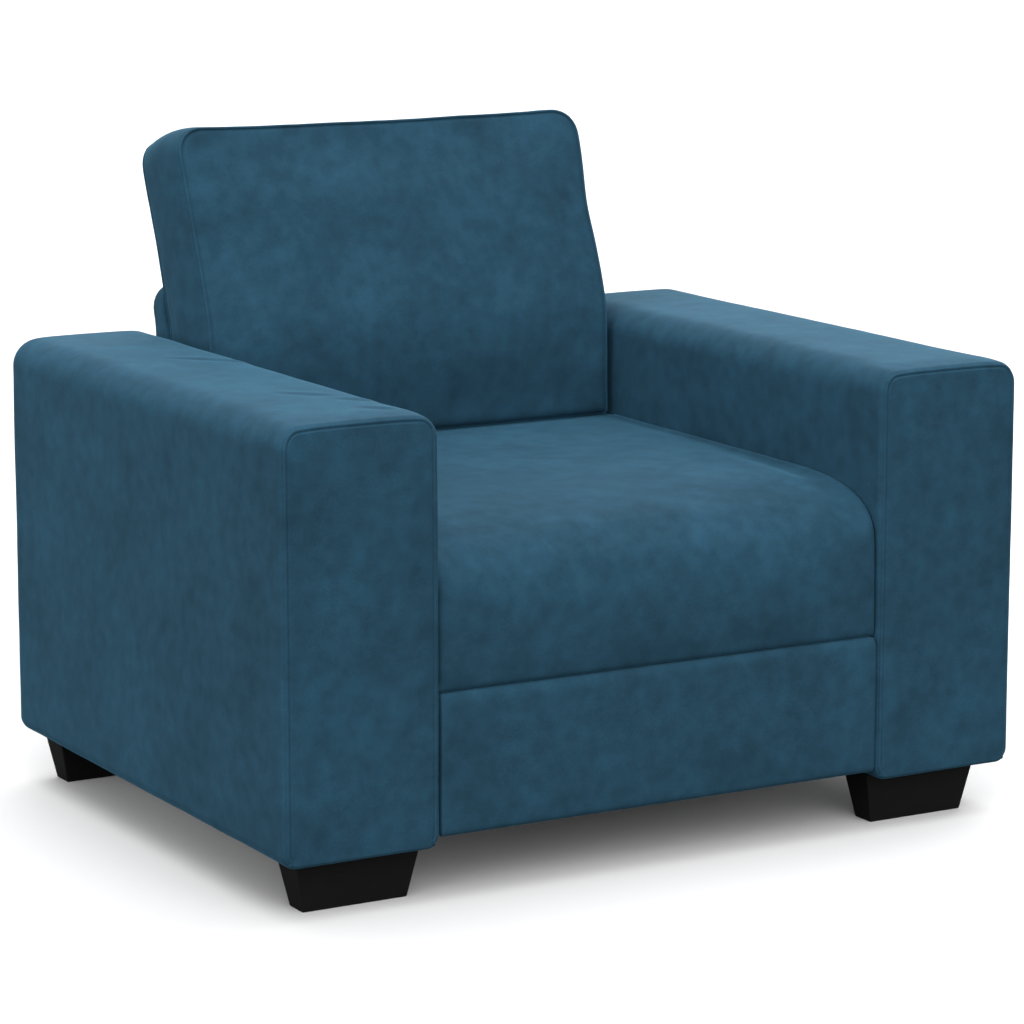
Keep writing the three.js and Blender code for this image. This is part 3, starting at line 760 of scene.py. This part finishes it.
def cushion_shape(pattern, flat_low, flat_high, low, high):
    """Rounds and bends the cushion's flat block before it is stuffed."""
    height = flat_high[2]
    flat = rounded(pattern, flat_low, flat_high, (CUSHION_CORNER, 0, 0), (CUSHION_CORNER, 0, CUSHION_CORNER))
    flat = rounded(flat, flat_low, flat_high, (FOOT_CORNER, 0, FOOT_CORNER), (FOOT_CORNER, 0, 0))
    across = flat[:, 0] / flat_high[0]
    inward = FOOT_ROUND - np.minimum(flat[:, 2], FOOT_ROUND)
    tuck = FOOT_ROUND - np.sqrt(FOOT_ROUND ** 2 - inward ** 2)
    flat[:, 1] += tuck * (1 - 2 * flat[:, 1] / CUSHION_THICKNESS)
    waist = CUSHION_WAIST * np.sin(math.pi * np.clip(flat[:, 2] / height, 0, 1)) ** 2
    hollow = bell(flat[:, 2] - (height - HOLLOW_DROP), HOLLOW_HEIGHT)
    waist += SIDE_HOLLOW * hollow * smooth_step(across, 0.7, 1)
    flat[:, 0] *= 1 - waist / high[0]
    upper = smooth_step(flat[:, 2], height * 0.6, height)
    flat[:, 2] += upper * TOP_RISE * flat[:, 1] / CUSHION_THICKNESS - upper * TOP_SAG * (1 - across ** 2)
    y, z = cushion_place(flat[:, 2], flat[:, 1], low)
    return np.column_stack([flat[:, 0], y, z])


def rim_distance(pattern, low, high):
    """Distance from the rim of the front or rear panel, on the flat cover. It is zero on the boxing."""
    x_gap = np.minimum(pattern[:, 0] - low[0], high[0] - pattern[:, 0])
    z_gap = np.minimum(pattern[:, 2] - low[2], high[2] - pattern[:, 2])
    return np.maximum(np.minimum(x_gap, z_gap), 0)


def seam_distances(pattern, low, high):
    """Distance from each point to the front seam and to the rear seam, over the flat cover."""
    rim_gap = rim_distance(pattern, low, high)
    return rim_gap + (pattern[:, 1] - low[1]), rim_gap + (high[1] - pattern[:, 1])


def stuff_cushion(piece, pattern, low, high):
    """Swells the cushion's panels, held at its foot and where its rear rests on the back, and smooths it."""
    foot = 1 - smooth_step(pattern[:, 2], 0, 15 * MM)
    resting = smooth_step(pattern[:, 1], 60 * MM, CUSHION_THICKNESS)
    resting *= 1 - smooth_step(pattern[:, 2], 240 * MM, 320 * MM)
    cap = (1 + 11 * smooth_step(rim_distance(pattern, low, high), 0, 110 * MM)) * MM
    inflate(piece, pressure=5, cap=cap, held=np.maximum(foot, resting))
    subdivide(piece)


def boxing_puff(pattern, low, high):
    """Swell of the band between the two seams. It is strongest at the sides above the arms."""
    boxing = rim_distance(pattern, low, high) < CLOSE
    clear_of_arms = smooth_step(pattern[:, 2], 110 * MM, 200 * MM)
    sideways = smooth_step(np.abs(pattern[:, 0]) / high[0], 0.6, 0.95)
    puff = BOXING_PUFF + clear_of_arms * (SIDE_PUFF * sideways - TOP_LOSS)
    puff *= smooth_step(pattern[:, 2], 0, 30 * MM)
    depth = np.clip(pattern[:, 1] / CUSHION_THICKNESS, 0, 0.9999)
    return boxing * puff * np.sin(math.pi * depth) ** 0.8


def clear_zip(points, pattern):
    """Lifts the cushion's underside over the zip's tape."""
    low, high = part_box("cushion_zip")
    across = np.abs(points[:, 1] - (low.y + high.y) / 2) - (high.y - low.y) / 2
    along = np.abs(points[:, 0]) - high.x
    outside = np.maximum(across, along)
    under = (pattern[:, 2] < CLOSE) & (outside < TAPE_MARGIN)
    share = 1 - smooth_step(outside, 1 * MM, TAPE_MARGIN)
    ceiling = high.z + RESTING_GAP
    points[:, 2] = np.where(under, points[:, 2] + (ceiling - points[:, 2]) * share, points[:, 2])


def make_piping(name, depth, pattern, points, low, high, velvet):
    """Piping in the seam round one face of the cushion."""
    on_seam = np.abs(pattern[:, 1] - depth) < CLOSE
    rim = rim_distance(pattern, low, high) < CLOSE
    chosen = np.where(on_seam & rim)[0]
    # Walk round the rim: along the bottom, up one side, back along the top and down the other side
    across, _, upward = place_between(pattern[chosen], low, high)
    at_end = 1 - 1e-4
    bottom = upward <= -at_end
    right = (across >= at_end) & ~bottom
    upper = (upward >= at_end) & ~right
    walk = np.where(bottom, across, 0)
    walk = np.where(right, 2 + upward, walk)
    walk = np.where(upper, 4 - across, walk)
    walk = np.where(~(bottom | right | upper), 6 - upward, walk)
    path = points[chosen[np.argsort(walk)]]
    ring = tube(f"cushion_piping_{name}", path, PIPING_RADIUS)
    ring.data.materials.append(velvet)
    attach(ring, "back_cushion")


def make_cushion(velvet):
    low, high = (np.array(corner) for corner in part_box("cushion_cover"))
    height = cushion_height(low, high) - TOP_ROOM
    flat_low = np.array([low[0] + CUSHION_INSET, 0, 0])
    flat_high = np.array([high[0] - CUSHION_INSET, CUSHION_THICKNESS, height])
    pattern, faces = box_surface(
        graded(flat_low[0], flat_high[0], 9 * MM, 3 * MM),
        graded(0, CUSHION_THICKNESS, 9 * MM, 3 * MM),
        graded(0, height, 9 * MM, 3 * MM),
    )
    points = cushion_shape(pattern, flat_low, flat_high, low, high)
    piece = make_mesh("back_cushion_upholstery", points, faces)
    keep_pattern(piece.data, pattern)
    stuff_cushion(piece, pattern, flat_low, flat_high)
    pattern = read_pattern(piece.data)
    points = read_points(piece.data)
    normals = read_normals(piece.data)
    push = boxing_puff(pattern, flat_low, flat_high)
    for gap in seam_distances(pattern, flat_low, flat_high):
        push -= SEAM_DEPTH * bell(gap - SEAM_PLACE, SEAM_WIDTH)
    push += uneven(points, 0.9 * MM, 0.10, 0.3 * MM, 0.03, 21)
    points += normals * push[:, None]
    clear_zip(points, pattern)
    write_points(piece.data, points)
    finish_soft(piece, "back_cushion", velvet, 0.7, "cushion_cover", "cushion_filling")
    for name, depth in (("front", 0), ("rear", CUSHION_THICKNESS)):
        make_piping(name, depth, pattern, points, flat_low, flat_high, velvet)


# ---------------------------------------------------------------- feet and dust cover

FOOT_BEVEL = 1.6 * MM
LINING_THICKNESS = 0.5 * MM
LINING_SAG = 4 * MM
LINING_RIPPLE = 0.6 * MM


def make_foot(name, material):
    """A moulded foot, tapered to the floor, with softened edges."""
    low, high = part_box(name)
    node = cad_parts[name]
    base = [v.co for v in node.data.vertices if v.co.z < low.z + 1 * MM]
    inset_x = min(v.x for v in base) - low.x
    inset_y = min(v.y for v in base) - low.y
    shape = bmesh.new()
    bmesh.ops.create_cube(shape, size=1)
    for vertex in shape.verts:
        upper = vertex.co.z > 0
        vertex.co.z = high.z if upper else low.z
        x_inset = 0 if upper else inset_x
        y_inset = 0 if upper else inset_y
        vertex.co.x = high.x - x_inset if vertex.co.x > 0 else low.x + x_inset
        vertex.co.y = high.y - y_inset if vertex.co.y > 0 else low.y + y_inset
    bmesh.ops.bevel(shape, geom=shape.edges[:], offset=FOOT_BEVEL, segments=3, profile=0.6, affect="EDGES")
    mesh = bpy.data.meshes.new(name + "_moulding")
    shape.to_mesh(mesh)
    shape.free()
    foot = bpy.data.objects.new(name + "_moulding", mesh)
    bpy.context.scene.collection.objects.link(foot)
    foot.data.materials.append(material)
    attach(foot, "chair")
    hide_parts(name)


def make_dust_cover(material):
    """Thin cloth stapled under the seat box, with a slight sag."""
    low, high = (np.array(corner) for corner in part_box("dust_cover"))
    xs = np.linspace(low[0], high[0], 60)
    ys = np.linspace(low[1], high[1], 70)
    pattern, faces = box_surface(xs, ys, np.array([low[2], low[2] + LINING_THICKNESS]))
    across, along, _ = place_between(pattern, low, high)
    points = pattern.copy()
    points[:, 2] -= LINING_SAG * (1 - across ** 2) * (1 - along ** 2)
    points[:, 2] += LINING_RIPPLE * waves(pattern, 0.05, 31) * (1 - across ** 4) * (1 - along ** 4)
    sheet = make_mesh("dust_cover_cloth", points, faces)
    sheet.data.materials.append(material)
    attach(sheet, "chair")
    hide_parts("dust_cover")


# ---------------------------------------------------------------- what stays from the frame

def dress_frame():
    """Gives the CAD parts that stay visible their own materials, by what they are made of."""
    materials = {
        "board": grained_material(
            "board", (0.36, 0.24, 0.13), (0.55, 0.40, 0.24), roughness=0.7, scale=60, stretch=(1, 0.15, 1)),
        "steel": grained_material(
            "steel", (0.35, 0.35, 0.36), (0.55, 0.55, 0.56), roughness=0.35, scale=300, metallic=1.0),
        "webbing": grained_material(
            "webbing", (0.03, 0.03, 0.03), (0.10, 0.10, 0.10), roughness=0.8, scale=500,
            stretch=(1, 0.1, 1)),
        "tape": grained_material(
            "zip_tape", (0.012, 0.030, 0.045), (0.020, 0.050, 0.075), roughness=0.8, scale=900),
        "foam": grained_material(
            "foam", (0.60, 0.55, 0.42), (0.78, 0.73, 0.60), roughness=0.9, scale=400),
    }
    kinds = (
        ("board", ("_board", "_rail", "_stile")),
        ("steel", ("bolt", "spring", "slider")),
        ("webbing", ("webbing",)),
        ("tape", ("cushion_zip",)),
        ("foam", ("foam", "pad", "filling")),
    )
    for name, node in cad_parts.items():
        for kind, words in kinds:
            if any(word in name for word in words):
                node.data.materials.clear()
                node.data.materials.append(materials[kind])


# ---------------------------------------------------------------- the chair

make_camera()
make_light()
make_floor()
dress_frame()
velvet = velvet_material()
plastic = grained_material(
    "foot_plastic", PLASTIC_DARK, PLASTIC_LIGHT, roughness=0.55, scale=700, specular=0.25)
lining = grained_material("lining", LINING_DARK, LINING_LIGHT, roughness=0.9, scale=1200)
for side in ("left", "right"):
    make_arm(side, velvet)
make_seat(velvet)
make_border(velvet)
make_back(velvet)
make_cushion(velvet)
for corner in ("front_left", "front_right", "rear_left", "rear_right"):
    make_foot(f"foot_{corner}", plastic)
make_dust_cover(lining)
